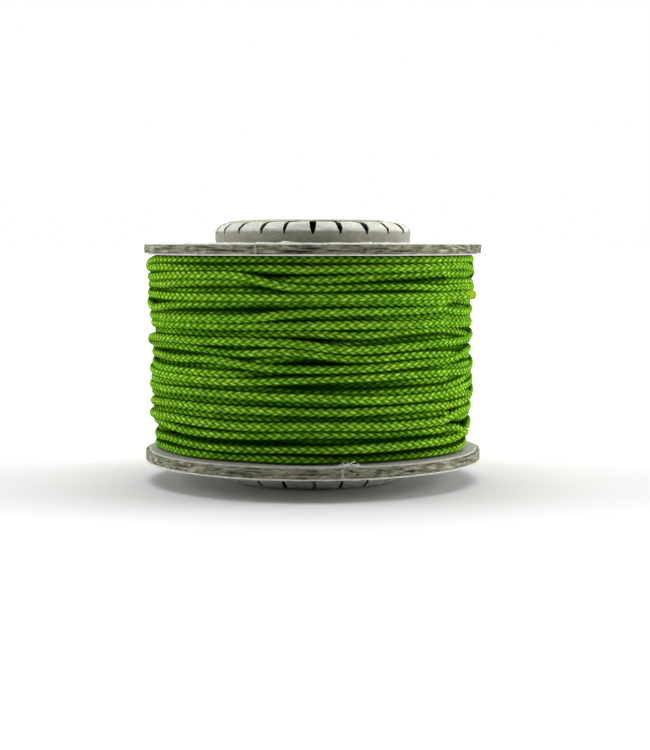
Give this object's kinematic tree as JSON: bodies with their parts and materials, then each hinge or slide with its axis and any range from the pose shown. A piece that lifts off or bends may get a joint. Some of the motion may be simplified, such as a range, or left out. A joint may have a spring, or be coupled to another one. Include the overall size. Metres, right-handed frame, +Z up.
{
  "type": "cord spool",
  "caption": "Round greyboard spool with flat flanges and a notched, folded tube end, wound full of thin green braided cord.",
  "frame": {"origin": "centre of the folded lower rim that the spool stands on, on the tube's axis", "axes": "+Z up the tube's axis; -Y is the front, with one notch of each folded end on it; +X is to the right, where the cord's free end is"},
  "size_m": [0.07, 0.07, 0.0541],
  "materials": {
    "greyboard": "matte",
    "flange_paper": "matte",
    "tube_board": "matte",
    "kraft": "matte",
    "dried_glue": "satin",
    "cord": "satin",
    "label_paper": "matte"
  },
  "bodies": {
    "root": {"top_flange_outer_paper": "flange_paper", "top_flange_outer_ply": "greyboard", "top_flange_inner_ply": "greyboard", "top_flange_inner_paper": "flange_paper", "bottom_flange_outer_paper": "flange_paper", "bottom_flange_outer_ply": "greyboard", "bottom_flange_inner_ply": "greyboard", "bottom_flange_inner_paper": "flange_paper", "core_tube_wrap": "tube_board", "core_tube_liner": "kraft", "top_glue_bead": "dried_glue", "bottom_glue_bead": "dried_glue", "cord_winding": "cord", "cord_tail": "cord", "top_label": "label_paper"}
  },
  "joints": []
}
